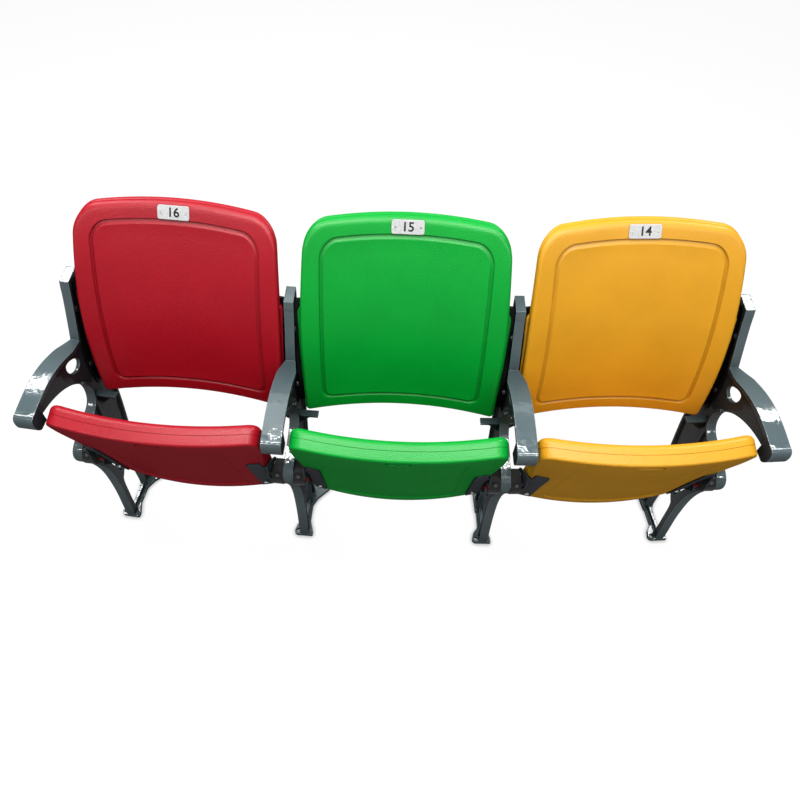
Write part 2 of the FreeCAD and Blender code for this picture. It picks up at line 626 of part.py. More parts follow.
def rivet_shank(n, grow):
    point, normal = surface_frame(n * (PLATE_W / 2.0 - 7.0), PLATE_Z, -PLATE_OFF)
    return Part.makeCylinder(RIVET_D / 2.0 + grow, 6.0, point - normal * 1.0, normal)


def plate_rivets():
    out = []
    for n in (-1, 1):
        point, normal = surface_frame(n * (PLATE_W / 2.0 - 7.0), PLATE_Z, -PLATE_OFF - SEAT_GAP)
        head = Part.makeCylinder(RIVET_D, 1.0, point - normal * 1.0, normal)
        out.append(head.fuse(rivet_shank(n, 0.0)))
    return Part.makeCompound(out)


def back_screws():
    "Screws through the brackets into the rear of the back panel."
    out = []
    for n in (-1, 1):
        for z in BACK_SCREW_Z:
            point, normal = surface_frame(n * BACK_SCREW_X, z, BRACKET_OFF + BRACKET_T)
            head = Part.makeCylinder(6.5, 4.0, point - normal * 0.5, normal)
            shank = Part.makeCylinder(SCREW_D / 2.0, 16.0, point - normal * 15.0, normal)
            out.append(head.fuse(shank))
    return Part.makeCompound(out)


def screw_holes(n, depth):
    cuts = []
    for z in BACK_SCREW_Z:
        point, normal = surface_frame(n * BACK_SCREW_X, z, BRACKET_OFF + BRACKET_T)
        cuts.append(Part.makeCylinder(SCREW_D / 2.0 + BOLT_CLEARANCE, depth, point - normal * (depth - 4.0), normal))
        cuts.append(Part.makeCylinder(6.5 + BOLT_CLEARANCE, 20.0, point - normal * 0.5, normal))
    return cuts


def bracket_bolts(sides):
    "Two bolts through the post web and the bracket cheeks of one standard."
    web = WEB_T / 2.0
    left = web + (CHEEK_PLATE_T if -1 in sides else 0.0)
    right = web + (CHEEK_PLATE_T if 1 in sides else 0.0)
    out = []
    for y, z in BRACKET_BOLTS:
        shank = cyl(BRACKET_BOLT_D / 2.0, -left - 5.0, right + 1.0, y, z)
        head = cyl(6.5, right, right + 4.0, y, z)
        nut = cyl(6.5, -left - 4.0, -left, y, z)
        out.append(fuse([shank, head, nut]))
    return Part.makeCompound(out)


def build():
    ends = {"left_end": (-1.5, (1,)), "left_middle": (-0.5, (-1, 1)), "right_middle": (0.5, (-1, 1)),
            "right_end": (1.5, (-1,))}
    placed = {}
    for name, (s, sides) in ends.items():
        placed["standard_" + name] = put(standard(sides), s)
        placed["bracket_bolts_" + name] = put(bracket_bolts(sides), s)
    made = {"back_panel": back_panel(), "number_plate": number_plate(), "plate_rivets": plate_rivets(),
            "back_screws": back_screws(), "seat_pan": tip(seat_pan()), "hinge_screws": tip(hinge_screws()),
            "housing_bolts": Part.makeCompound([housing_bolt(-1), housing_bolt(1)])}
    for n, hand in ((-1, "left"), (1, "right")):
        made["hinge_plate_" + hand] = tip(hinge_plate(n))
        made["pivot_bolt_" + hand] = pivot_bolt(n)
        made["pivot_housing_" + hand] = pivot_housing(n)
        made["stop_pad_" + hand] = stop_pad(n)
        made["back_bracket_" + hand] = bracket(n)
    for seat, s in (("left", -1.0), ("middle", 0.0), ("right", 1.0)):
        for key, shape in made.items():
            placed[seat + "_" + key] = put(shape, s)
    # the origin goes to the middle of the footprint, on the floor
    box = FreeCAD.BoundBox()
    for shape in placed.values():
        box.add(shape.optimalBoundingBox(False, False))
    shift = V(-box.Center.x, -box.Center.y, -box.ZMin)
    print("shift", [round(v, 3) for v in shift], "size", round(box.XLength, 1), round(box.YLength, 1),
          round(box.ZLength, 1))
    for name, shape in placed.items():
        shape.translate(shift)
        save(name, shape)
        print(name, shape.isValid(), round(shape.Volume), len(shape.Solids))


build()
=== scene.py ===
import json
import math

import bpy
import bmesh
from mathutils import Matrix, Vector


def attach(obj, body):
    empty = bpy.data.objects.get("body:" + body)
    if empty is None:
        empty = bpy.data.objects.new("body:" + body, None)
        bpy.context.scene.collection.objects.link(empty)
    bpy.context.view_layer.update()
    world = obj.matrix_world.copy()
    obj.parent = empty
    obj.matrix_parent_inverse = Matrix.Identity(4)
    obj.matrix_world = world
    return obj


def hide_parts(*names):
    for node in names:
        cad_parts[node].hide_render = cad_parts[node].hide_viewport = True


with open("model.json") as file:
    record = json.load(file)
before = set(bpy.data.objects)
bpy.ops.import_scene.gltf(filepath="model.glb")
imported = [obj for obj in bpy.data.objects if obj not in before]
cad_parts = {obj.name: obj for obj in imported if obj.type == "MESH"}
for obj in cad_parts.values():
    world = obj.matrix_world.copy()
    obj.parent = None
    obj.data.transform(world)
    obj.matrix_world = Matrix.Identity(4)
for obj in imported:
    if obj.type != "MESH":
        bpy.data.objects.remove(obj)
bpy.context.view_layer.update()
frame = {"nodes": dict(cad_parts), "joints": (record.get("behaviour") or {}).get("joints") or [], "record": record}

SEATS = ("left", "middle", "right")
HANDS = (("left", -1.0), ("right", 1.0))
SEAT_NUMBERS = {"left": "16", "middle": "15", "right": "14"}

# Camera in the middle seat's frame: place in metres, angles in degrees, focal length and centre in pixels
IMAGE_SIZE = 800.0
CAMERA_AT = (-0.01073, -0.74410, 1.66364)
CAMERA_PITCH = 50.182
CAMERA_YAW = -1.1761
CAMERA_ROLL = 1.5225
FOCAL_PIXELS = 649.84
CENTRE_PIXEL = (388.50, 357.85)
SENSOR_MM = 36.0

# Seat pivot and how far the pans stand tipped up
PIVOT_Z = 0.375
TIP_ANGLE = 70.0

# Back panel, front surface y = Y0 + SLOPE s + CURVE s^2 - DISH x^2 with s = z - Z0
BACK_Y0 = 0.1707
BACK_SLOPE = 0.3985
BACK_CURVE = 0.81
BACK_DISH = 0.314
BACK_Z0 = 0.690
BACK_T = 0.026
BACK_FRONT_EDGE = 0.009
BACK_REAR_EDGE = 0.006
# Parting line of the mould round the edge, as inset and depth behind the front
BACK_PARTING = ((0.0, 0.0150), (0.0005, 0.0143), (0.0005, 0.0138), (0.0, 0.0131))

# Outlines as half width, top, top arch, bottom, bottom arch, top radius, bottom radius; an arch is how much the
# edge falls per square metre off the middle line
BACK_RIM = (0.2135, 0.8708, 0.264, 0.4592, 0.430, 0.046, 0.012)
BACK_GROOVE = (0.1700, 0.8430, 0.300, 0.4975, 0.380, 0.034, 0.022)
FRONT_MIDDLE = (0.004, 0.694, 0.0, 0.686, 0.0, 0.002, 0.002)
REAR_MIDDLE = (0.00427, 0.690, 0.0, 0.655, 0.0, 0.003, 0.003)
# Share of its corner radii that an inset outline keeps at least
LEAST_RADIUS = 0.15
# Groove section from its outer lip inwards, as distance and depth
GROOVE_SECTION = ((-0.0036, 0.0), (-0.0031, 0.0004), (-0.0024, 0.0032), (-0.0015, 0.0042), (0.0, 0.0040),
                  (0.0028, 0.0027), (0.0048, 0.0009), (0.0058, -0.0002), (0.0068, 0.0))
# Inset inside the groove, which fades out towards the middle
GROOVE_FADE = 0.009
# How much narrower the panel is at a height of BACK_NARROW_TO than below BACK_NARROW_FROM
BACK_NARROW = 0.0095
BACK_NARROW_FROM = 0.66
BACK_NARROW_TO = 0.85
BACK_NARROW_POWER = 1.6

# Ears beside the panel, which the wing brackets hold; they reach less far at their lower ends
EAR_SET_BACK = 0.015
EAR_REACH = 0.2190
EAR_TAPER = 0.0045
EAR_ROOT = 0.2
EAR_BURIED = 0.199
EAR_Z = (0.470, 0.706)
# Rounded ends as distance from the end and share of the reach, and the length they take together
EAR_LOWER_END = ((0.0, 0.5), (0.002, 0.85), (0.006, 1.0))
EAR_UPPER_END = ((0.006, 0.94), (0.002, 0.75), (0.0, 0.4))
EAR_ENDS = 0.016
EAR_STEPS = 16
# Section as shares of the reach and of the depth
EAR_SECTION = ((0.0, 0.0), (0.35, 0.0), (0.7, 0.004), (0.9, 0.015), (1.0, 0.045), (1.0, 0.4), (1.0, 0.75),
               (0.9, 0.95), (0.7, 1.0), (0.0, 1.0))

# Number plate and the digits on it, which stand out by DIGIT_LIFT; the font's digits are 0.7 of its size high
PLATE_Z = 0.858
PLATE_T = 0.0012
PLATE_GAP = 0.0003
DIGIT_HEIGHT = 0.0175
DIGIT_SHARE = 0.7
DIGIT_T = 0.0001
DIGIT_WEIGHT = 0.0005
DIGIT_LIFT = 0.0002

# Seat pan, sitting down, with a forward and b up from the pivot
SEAT_T = 0.045
SEAT_CROWN = 0.003
SEAT_FRONT = 0.246
SEAT_REAR = -0.118
SEAT_HALF_FRONT = 0.213
SEAT_HALF_REAR = 0.186
SEAT_CORNER = 0.028
LEAST_CORNER = 0.006
SEAT_TOP_EDGE = 0.014
# Fall of the front and rear edges, and how far off the middle line it is reached
FRONT_FALL, FRONT_FALL_AT = 0.002, 0.180
REAR_FALL, REAR_FALL_AT = 0.006, 0.160
# Half width against forward distance in tenths of a metre, as a polynomial
SIDE_FIT = (0.193893, 0.005879, 0.001800, 0.003408, -0.001664)
# Underside on the middle line: place, height and slope at the knee, and how it curls in front of the knee
KNEE_A = 0.160
KNEE_B = -0.0361
KNEE_SLOPE = 0.0549
KNEE_CURL = 0.35
# Dish across the pan as its rise at DISH_AT: at the front, its growth rearwards, and where that growth ends
DISH_AT = 0.200
DISH_FRONT = 0.0194
DISH_GROWTH = 0.0275
DISH_LEVEL_A = 0.020
# Lower edge: radius at the front, what it gains rearwards, from where and over what length, and the band it takes
EDGE_RADIUS = 0.0045
EDGE_GAIN = 0.0085
EDGE_FROM_A = 0.170
EDGE_LENGTH = 0.240
EDGE_BAND = 0.013
# Parting line of the mould half way up the edge: height, and its section as inset and height
PARTING = 0.022
SEAT_PARTING = ((0.0, -0.0008), (0.0007, -0.0003), (0.0007, 0.0003), (0.0, 0.0008))
# Recess under the pan as half width, front, rear and corner radius; its wall is RECESS_STEP wide
RECESS = (0.138, 0.222, -0.086, 0.022)
RECESS_DEPTH = 0.003
RECESS_STEP = 0.006
# Finger slot in the underside near the front edge as width, length and place
LIFT_SLOT = (0.050, 0.011, 0.2315)
LIFT_SLOT_DEPTH = 0.009

# Points along an edge and round a corner of the lofted outlines
EDGE_STEPS = 24
CORNER_STEPS = 12


def seat_matrix(name):
    "The seat's own frame: origin on the floor under its pivot axis, X along the axis."
    joint = next(j for j in frame["joints"] if j["name"] == "seat_%s_tip" % name)
    x, y, _ = joint["pos_m"]
    angle = math.atan2(joint["axis"][1], joint["axis"][0])
    return Matrix.Translation((x, y, 0.0)) @ Matrix.Rotation(angle, 4, "Z")


def linear(*rgb):
    "Linear colour from display values of 0 to 255."
    out = []
    for v in rgb:
        c = v / 255.0
        out.append(c / 12.92 if c <= 0.04045 else ((c + 0.055) / 1.055) ** 2.4)
    return (*out, 1.0)


def shade(colour, amount):
    "Colour made darker or lighter."
    return tuple(c * amount for c in colour[:3]) + (1.0,)


# Materials; noise scales are per metre, bump depths and reaches of shadows in metres

# Where between 0 and 1 the colours of a tone start and end
RAMP_FROM = 0.3
RAMP_TO = 0.7
BASE_ROUGHNESS = 0.6
CLOUD_SCALE = 9.0
PEBBLE_SCALE = 430.0
PEBBLE_SMOOTHNESS = 0.5
PEBBLE_DEPTH = 0.0009
PEBBLE_STRENGTH = 0.34
GRAIN_SCALE = 1300.0
# Painted shade in the creases of the plastic: how far it reaches, and how dark it gets at most
CREASE_SHADE_REACH = 0.010
CREASE_SHADE_DARKEST = 0.12
PLASTIC_GLOSS = 0.016
PLASTIC_ROUGH = (0.30, 0.38)

PATCH_SCALE = 14.0
RIPPLE_SCALE = 30.0
RIPPLE_DEPTH = 0.0045
RIPPLE_STRENGTH = 0.40
PEEL_SCALE = 420.0
# How far sideways a face of a casting looks where the painted side shade begins, and where it is strongest
SIDE_SHADE_FACING = (0.90, 0.98)
# Painted highlight: edges of a casting are lighter by the last factor below where the rounded normal leaves the
# face's own
EDGE_HIGHLIGHT_FACING = (0.86, 0.99)
EDGE_HIGHLIGHT_SHARE = 0.55
EDGE_HIGHLIGHT_LIGHTER = 3.2

FINE_DEPTH = 0.0002
FINE_STRENGTH = 0.15
WEAR_SCALE = 240.0
WEAR_STRENGTH = 0.2
MATT_GLOSS = 0.15


def new_material(name):
    mat = bpy.data.materials.new(name)
    mat.use_nodes = True
    nodes = mat.node_tree.nodes
    return mat, nodes, mat.node_tree.links, nodes["Principled BSDF"]


def texture_space(nodes, links):
    return nodes.new("ShaderNodeTexCoord").outputs["Object"]


def noise(nodes, links, space, scale, detail=2.0, rough=0.5):
    n = nodes.new("ShaderNodeTexNoise")
    n.inputs["Scale"].default_value = scale
    n.inputs["Detail"].default_value = detail
    n.inputs["Roughness"].default_value = rough
    links.new(space, n.inputs["Vector"])
    return n.outputs["Fac"]


def ramp(nodes, links, value, low, high):
    r = nodes.new("ShaderNodeValToRGB")
    r.color_ramp.elements[0].position = RAMP_FROM
    r.color_ramp.elements[0].color = low
    r.color_ramp.elements[1].position = RAMP_TO
    r.color_ramp.elements[1].color = high
    links.new(value, r.inputs["Fac"])
    return r.outputs["Color"]


def map_range(nodes, links, value, low, high, start=0.0, end=1.0):
    m = nodes.new("ShaderNodeMapRange")
    m.inputs["From Min"].default_value = start
    m.inputs["From Max"].default_value = end
    m.inputs["To Min"].default_value = low
    m.inputs["To Max"].default_value = high
    links.new(value, m.inputs["Value"])
    return m.outputs["Result"]


def times(nodes, links, value, factor):
    m = nodes.new("ShaderNodeMath")
    m.operation = "MULTIPLY"
    m.inputs[1].default_value = factor
    links.new(value, m.inputs[0])
    return m.outputs["Value"]


def bump(nodes, links, height, distance, strength, normal=None):
    b = nodes.new("ShaderNodeBump")
    b.inputs["Strength"].default_value = strength
    b.inputs["Distance"].default_value = distance
    links.new(height, b.inputs["Height"])
    if normal is not None:
        links.new(normal, b.inputs["Normal"])
    return b.outputs["Normal"]


def recess_shade(nodes, links, reach, darkest):
    "Value from darkest in deep recesses to one on open faces."
    hollow = nodes.new("ShaderNodeAmbientOcclusion")
    hollow.samples = 4
    hollow.inputs["Distance"].default_value = reach
    return map_range(nodes, links, hollow.outputs["AO"], darkest, 1.0)


def blend(nodes, links, share, one, other):
    "Mix of a colour socket and a constant colour."
    m = nodes.new("ShaderNodeMix")
    m.data_type = "RGBA"
    links.new(share, m.inputs["Factor"])
    links.new(one, m.inputs["A"])
    m.inputs["B"].default_value = other
    return m.outputs["Result"]


def tinted(nodes, links, colour, value):
    "Colour times a grey value."
    tone = nodes.new("ShaderNodeMix")
    tone.data_type = "RGBA"
    tone.blend_type = "MULTIPLY"
    tone.inputs["Factor"].default_value = 1.0
    links.new(colour, tone.inputs["A"])
    links.new(value, tone.inputs["B"])
    return tone.outputs["Result"]


def mix_shaders(nodes, links, share, one, other, surface):
    "Mix two shaders into an output; the share is a number or a socket."
    both = nodes.new("ShaderNodeMixShader")
    if isinstance(share, float):
        both.inputs["Fac"].default_value = share
    else:
        links.new(share, both.inputs["Fac"])
    links.new(one, both.inputs[1])
    links.new(other, both.inputs[2])
    links.new(both.outputs["Shader"], surface)


def glossy_skin(nodes, links, bsdf, normal, share, roughness):
    "An even weak gloss over a matt base."
    bsdf.inputs["Roughness"].default_value = BASE_ROUGHNESS
    bsdf.inputs["Specular IOR Level"].default_value = 0.0
    links.new(normal, bsdf.inputs["Normal"])
    gloss = nodes.new("ShaderNodeBsdfGlossy")
    links.new(roughness, gloss.inputs["Roughness"])
    links.new(normal, gloss.inputs["Normal"])
    mix_shaders(nodes, links, share, bsdf.outputs["BSDF"], gloss.outputs["BSDF"],
                nodes["Material Output"].inputs["Surface"])


def plastic(name, colour):
    """Blow moulded plastic with a fine pebble grain, faint cloudy colour and painted shade in its creases."""
    mat, nodes, links, bsdf = new_material(name)
    space = texture_space(nodes, links)
    cloudy = noise(nodes, links, space, CLOUD_SCALE, 3.0)
    tone = ramp(nodes, links, cloudy, shade(colour, 0.95), shade(colour, 1.05))
    # painted shade: the base colour darkens in the creases
    crease_shade = recess_shade(nodes, links, CREASE_SHADE_REACH, CREASE_SHADE_DARKEST)
    links.new(tinted(nodes, links, tone, crease_shade), bsdf.inputs["Base Color"])
    pebbles = nodes.new("ShaderNodeTexVoronoi")
    pebbles.feature = "SMOOTH_F1"
    pebbles.inputs["Scale"].default_value = PEBBLE_SCALE
    pebbles.inputs["Smoothness"].default_value = PEBBLE_SMOOTHNESS
    links.new(space, pebbles.inputs["Vector"])
    fine = noise(nodes, links, space, GRAIN_SCALE)
    normal = bump(nodes, links, pebbles.outputs["Distance"], PEBBLE_DEPTH, PEBBLE_STRENGTH)
    normal = bump(nodes, links, fine, FINE_DEPTH, FINE_STRENGTH, normal)
    glossy_skin(nodes, links, bsdf, normal, PLASTIC_GLOSS, map_range(nodes, links, cloudy, *PLASTIC_ROUGH))
    return mat


# Painted shade colour for the faces of a casting that look sideways
SIDE_SHADE_COLOUR = shade(linear(62, 56, 64), 0.55)


def cast_paint(name, colour, rough=(0.07, 0.14), gloss_share=0.032, edge=0.0022, reach=0.16, darkest=0.10,
               side_shade_share=0.0):
    """Glossy paint over a die casting: soft ripples of the mould, rounded edges with a painted highlight, and
    painted shade in recesses and on faces that look sideways.
    """
    mat, nodes, links, bsdf = new_material(name)
    space = texture_space(nodes, links)
    patches = noise(nodes, links, space, PATCH_SCALE, 4.0, 0.6)
    # painted shade: recesses darken, both in colour and in gloss
    shadow = recess_shade(nodes, links, reach, darkest)
    tone = ramp(nodes, links, patches, shade(colour, 0.92), shade(colour, 1.08))
    rounded = nodes.new("ShaderNodeBevel")
    rounded.samples = 6
    rounded.inputs["Radius"].default_value = edge
    face = nodes.new("ShaderNodeNewGeometry")
    parts = nodes.new("ShaderNodeSeparateXYZ")
    links.new(face.outputs["True Normal"], parts.inputs["Vector"])
    across = nodes.new("ShaderNodeMath")
    across.operation = "ABSOLUTE"
    links.new(parts.outputs["X"], across.inputs[0])
    # painted shade: faces that look sideways take the darker side colour
    side_shade = map_range(nodes, links, across.outputs["Value"], 0.0, side_shade_share, *SIDE_SHADE_FACING)
    tone = blend(nodes, links, side_shade, tone, SIDE_SHADE_COLOUR)
    turn = nodes.new("ShaderNodeVectorMath")
    turn.operation = "DOT_PRODUCT"
    links.new(rounded.outputs["Normal"], turn.inputs[0])
    links.new(face.outputs["True Normal"], turn.inputs[1])
    # painted highlight along the edges, where the rounded normal turns away from the face
    edge_highlight = map_range(nodes, links, turn.outputs["Value"], EDGE_HIGHLIGHT_SHARE, 0.0, *EDGE_HIGHLIGHT_FACING)
    tone = blend(nodes, links, edge_highlight, tone, shade(colour, EDGE_HIGHLIGHT_LIGHTER))
    links.new(tinted(nodes, links, tone, shadow), bsdf.inputs["Base Color"])
    ripple = noise(nodes, links, space, RIPPLE_SCALE, 3.0, 0.55)
    peel = noise(nodes, links, space, PEEL_SCALE)
    normal = bump(nodes, links, ripple, RIPPLE_DEPTH, RIPPLE_STRENGTH, rounded.outputs["Normal"])
    normal = bump(nodes, links, peel, FINE_DEPTH, FINE_STRENGTH, normal)
    glossy_skin(nodes, links, bsdf, normal, times(nodes, links, shadow, gloss_share),
                map_range(nodes, links, patches, *rough))
    return mat


def metal(name, colour, rough=0.3):
    "Plain or plated steel with fine wear."
    mat, nodes, links, bsdf = new_material(name)
    space = texture_space(nodes, links)
    worn = noise(nodes, links, space, WEAR_SCALE, 4.0, 0.65)
    links.new(ramp(nodes, links, worn, shade(colour, 0.80), colour), bsdf.inputs["Base Color"])
    links.new(map_range(nodes, links, worn, rough - 0.08, rough + 0.12), bsdf.inputs["Roughness"])
    links.new(bump(nodes, links, worn, FINE_DEPTH, WEAR_STRENGTH), bsdf.inputs["Normal"])
    bsdf.inputs["Metallic"].default_value = 1.0
    return mat


def matt(name, colour, rough, grain=500.0, edge=0.001):
    "Dull speckled skin of nylon, rubber, ink or painted sheet."
    mat, nodes, links, bsdf = new_material(name)
    space = texture_space(nodes, links)
    speckle = noise(nodes, links, space, grain, 3.0)
    links.new(ramp(nodes, links, speckle, shade(colour, 0.85), shade(colour, 1.1)), bsdf.inputs["Base Color"])
    links.new(map_range(nodes, links, speckle, rough - 0.06, rough + 0.08), bsdf.inputs["Roughness"])
    bsdf.inputs["Specular IOR Level"].default_value = MATT_GLOSS
    rounded = nodes.new("ShaderNodeBevel")
    rounded.samples = 4
    rounded.inputs["Radius"].default_value = edge
    normal = bump(nodes, links, speckle, FINE_DEPTH, WEAR_STRENGTH, rounded.outputs["Normal"])
    links.new(normal, bsdf.inputs["Normal"])
    return mat


# Sheet steel has sharper edges and less depth of shadow than the castings
SHEET = {"gloss_share": 0.02, "edge": 0.001, "reach": 0.05, "darkest": 0.4}
MATERIALS = {
    "plastic_left": plastic("plastic_left", linear(177, 22, 38)),
    "plastic_middle": plastic("plastic_middle", linear(4, 168, 56)),
    "plastic_right": plastic("plastic_right", linear(233, 167, 38)),
    "cast_grey": cast_paint("cast_grey", linear(84, 100, 104), side_shade_share=0.8),
    "black_steel": cast_paint("black_steel", linear(22, 23, 25), (0.28, 0.40), **SHEET),
    "dark_steel": cast_paint("dark_steel", linear(62, 66, 72), (0.30, 0.42), **SHEET),
    "bright_steel": metal("bright_steel", linear(150, 150, 147)),
    "black_nylon": matt("black_nylon", linear(30, 30, 31), 0.5),
    "red_rubber": matt("red_rubber", linear(150, 24, 20), 0.6),
    "plate_white": matt("plate_white", linear(216, 217, 217), 0.35, 300.0, 0.0005),
}
# Bolts and screws in the gaps beside the panels and on the pivots get a darker and duller steel than the other
# steel
DARKER_BOLT_STEEL = metal("darker_bolt_steel", linear(74, 75, 77), 0.40)
DARKER_BOLT_NODES = ("bracket_bolts", "back_screws", "housing_bolts")
INK = matt("ink", linear(24, 24, 26), 0.45, 900.0, 0.0002)


def dress(obj, slot):
    "Give a new piece the material of its slot."
    obj.data.materials.clear()
    obj.data.materials.append(MATERIALS[slot])


for row in frame["record"]["subparts"]:
    if row["node"] in frame["nodes"]:
        node = frame["nodes"][row["node"]]
        node.data.materials.clear()
        darker_bolt = any(word in row["node"] for word in DARKER_BOLT_NODES)
        node.data.materials.append(DARKER_BOLT_STEEL if darker_bolt else MATERIALS[row["material_slot"]])


# Mesh helpers

def new_object(name, verts, faces, matrix):
    "Closed mesh with its normals outwards."
    mesh = bpy.data.meshes.new(name)
    mesh.from_pydata([matrix @ Vector(v) for v in verts], [], faces)
    bm = bmesh.new()
    bm.from_mesh(mesh)
    bmesh.ops.recalc_face_normals(bm, faces=bm.faces)
    bm.to_mesh(mesh)
    bm.free()
    obj = bpy.data.objects.new(name, mesh)
    bpy.context.scene.collection.objects.link(obj)
    return obj


def new_piece(name, verts, faces, slot, body, matrix):
    obj = new_object(name, verts, faces, matrix)
    obj.data.shade_smooth()
    dress(obj, slot)
    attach(obj, body)
    return obj


# Handle length that turns a cubic curve into a quarter circle
CIRCLE_HANDLE = 0.5523


def corner(p, c, q):
    "Rounded corner from p to q about the sharp corner c, without its last point."
    a = p.lerp(c, CIRCLE_HANDLE)
    b = q.lerp(c, CIRCLE_HANDLE)
    out = []
    for i in range(CORNER_STEPS):
        t = i / CORNER_STEPS
        u = 1.0 - t
        out.append(p * u ** 3 + a * 3 * u * u * t + b * 3 * u * t * t + q * t ** 3)
    return out


def run(f, x0, x1):
    "Points along an edge given as a function, without its last point."
    return [f(x0 + (x1 - x0) * i / EDGE_STEPS) for i in range(EDGE_STEPS)]


def mirrored(half):
    "Closed ring from its right half, which starts and ends on the middle line."
    return half[:-1] + [Vector((-p.x, p.y)) for p in reversed(half[1:])]


def quarter_turn(steps):
    "Sine and cosine from 0 to 90 degrees."
    angles = [math.radians(90.0 / steps * k) for k in range(steps + 1)]
    return [(math.sin(a), math.cos(a)) for a in angles]


def loft(rings):
    "Skin over closed rings of equal length, with a fan at each end."
    n = len(rings[0])
    verts = [v for ring in rings for v in ring]
    faces = []
    for k in range(len(rings) - 1):
        for i in range(n):
            j = (i + 1) % n
            faces.append((k * n + i, k * n + j, (k + 1) * n + j, (k + 1) * n + i))
    for k in (0, len(rings) - 1):
        middle = sum((Vector(v) for v in rings[k]), Vector()) / n
        verts.append(tuple(middle))
        for i in range(n):
            faces.append((k * n + i, k * n + (i + 1) % n, len(verts) - 1))
    return verts, faces


def mix(a, b, t):
    "Outline between two others."
    return tuple(p + (q - p) * t for p, q in zip(a, b))


# Back panels

def back_y(x, z):
    "Front surface of the panel."
    s = z - BACK_Z0
    return BACK_Y0 + BACK_SLOPE * s + BACK_CURVE * s * s - BACK_DISH * x * x


def panel_ring(shape, inset, depth):
    "Closed ring of points on the panel, inset from an outline and set back from the front surface."
    half_width, top, top_arch, bottom, bottom_arch, r_top, r_bottom = shape
    hw = half_width - inset
    top -= inset
    bottom += inset
    rt = max(r_top - inset, LEAST_RADIUS * r_top)
    rb = max(r_bottom - inset, LEAST_RADIUS * r_bottom)
    upper = lambda x: Vector((x, top - top_arch * x * x))
    lower = lambda x: Vector((x, bottom - bottom_arch * x * x))
    side = lambda z: Vector((hw, z))
    z_top = upper(hw).y - rt
    z_bottom = lower(hw).y + rb
    half = run(upper, 0.0, hw - rt)
    half += corner(upper(hw - rt), upper(hw), side(z_top))
    half += run(side, z_top, z_bottom)
    half += corner(side(z_bottom), lower(hw), lower(hw - rb))
    half += run(lower, hw - rb, 0.0)
    half.append(lower(0.0))
    ring = mirrored(half)
    if half_width > BACK_GROOVE[0]:
        # the rim narrows upwards, and the outlines between it and the groove do so less
        narrowing = (half_width - BACK_GROOVE[0]) / (BACK_RIM[0] - BACK_GROOVE[0]) * BACK_NARROW / BACK_RIM[0]
        for p in ring:
            rise = max(p.y - BACK_NARROW_FROM, 0.0) / (BACK_NARROW_TO - BACK_NARROW_FROM)
            p.x *= 1.0 - narrowing * rise ** BACK_NARROW_POWER
    return [(p.x, back_y(p.x, p.y) + depth, p.y) for p in ring]


def back_panel_rings():
    "Rings from the middle of the rear, round the edge, to the middle of the front."
    rings = []
    for t in (0.9, 0.6, 0.3):
        rings.append(panel_ring(mix(BACK_RIM, REAR_MIDDLE, t), 0.0, BACK_T))
    r = BACK_REAR_EDGE
    for sine, cosine in quarter_turn(6):
        rings.append(panel_ring(BACK_RIM, r * (1.0 - sine), BACK_T - r * (1.0 - cosine)))
    for inset, depth in BACK_PARTING:
        rings.append(panel_ring(BACK_RIM, inset, depth))
    r = BACK_FRONT_EDGE
    for sine, cosine in quarter_turn(9):
        rings.append(panel_ring(BACK_RIM, r * (1.0 - cosine), r * (1.0 - sine)))
    for t in (0.25, 0.55, 0.8):
        rings.append(panel_ring(mix(BACK_RIM, BACK_GROOVE, t), r * (1.0 - t), 0.0))
    for inset, depth in GROOVE_SECTION:
        rings.append(panel_ring(BACK_GROOVE, inset, depth))
    for t in (0.15, 0.35, 0.6, 0.85, 1.0):
        rings.append(panel_ring(mix(BACK_GROOVE, FRONT_MIDDLE, t), GROOVE_FADE * (1.0 - t), 0.0))
    return rings


def ear_rings(side):
    "Ear of the panel, set back from its front, as rings up the ear."
    rings = []
    z0, z1 = EAR_Z
    straight_from = z0 + EAR_LOWER_END[-1][0]
    straight = z1 - z0 - EAR_ENDS
    levels = [(z0 + up, share) for up, share in EAR_LOWER_END]
    levels += [(straight_from + straight * i / EAR_STEPS, 1.0) for i in range(1, EAR_STEPS + 1)]
    levels += [(z1 - down, share) for down, share in EAR_UPPER_END]
    depth = BACK_T - EAR_SET_BACK
    for z, share in levels:
        reach = EAR_REACH - EAR_TAPER * (1.0 - (z - z0) / (z1 - z0))
        x_out = EAR_ROOT + (reach - EAR_ROOT) * share
        ring = []
        for out, back in EAR_SECTION:
            x = EAR_BURIED + (x_out - EAR_BURIED) * out
            ring.append((side * x, back_y(x, z) + EAR_SET_BACK + depth * back, z))
        rings.append(ring)
    return rings


def make_back(seat):
    place = seat_matrix(seat)
    verts, faces = loft(back_panel_rings())
    body = new_piece(seat + "_panel_shell", verts, faces, "plastic_" + seat, "frame", place)
    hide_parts(seat + "_back_panel")
    for hand, side in HANDS:
        verts, faces = loft(ear_rings(side))
        new_piece(seat + "_panel_ear_" + hand, verts, faces, "plastic_" + seat, "frame", place)


# Seat pans

def seat_b(a, x):
    "Height of the underside over the pivot axis when sitting down."
    middle = KNEE_B - KNEE_SLOPE * (KNEE_A - a) + (KNEE_CURL * (a - KNEE_A) ** 2 if a > KNEE_A else 0.0)
    dish = DISH_FRONT + DISH_GROWTH * (SEAT_FRONT - max(a, DISH_LEVEL_A))
    return middle + dish * (x / DISH_AT) ** 2


